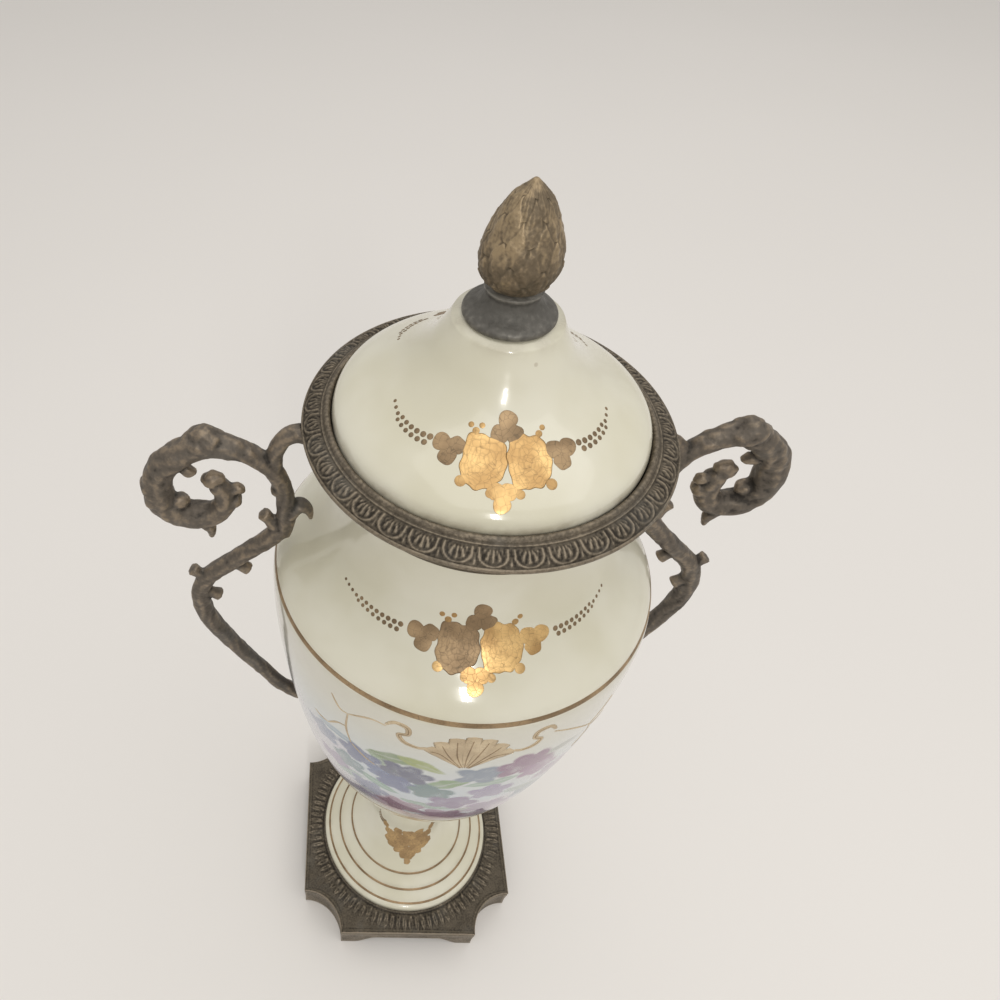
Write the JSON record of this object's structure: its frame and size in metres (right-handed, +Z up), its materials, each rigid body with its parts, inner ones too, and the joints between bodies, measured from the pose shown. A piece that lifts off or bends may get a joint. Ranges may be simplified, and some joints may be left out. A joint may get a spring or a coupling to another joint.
{
  "type": "mantel urn",
  "caption": "Lidded porcelain mantel urn on a square cast bronze plate, with a bronze rim collar, branch-shaped handles and a pine-cone finial.",
  "frame": {"origin": "on the ground under the middle of the base plate", "axes": "+Z up along the urn's axis, +X towards the right-hand handle (which is turned 3 degrees about Z), -Y towards the front with the painted panel"},
  "size_m": [0.1706, 0.1114, 0.384],
  "materials": {
    "porcelain": "glossy ivory glaze with burnished gold sprays and lines",
    "bronze": "dark brown patina, worn lighter on high places",
    "dark_metal": "dark grey, dull",
    "worn_bronze": "worn brown gold"
  },
  "bodies": {
    "root": {"base_plate": "bronze", "foot": "porcelain", "body": "porcelain", "rim_collar": "bronze", "handle_left": "bronze", "handle_right": "bronze", "lid": "porcelain", "finial_base": "dark_metal", "finial_cone": "worn_bronze"}
  },
  "joints": []
}
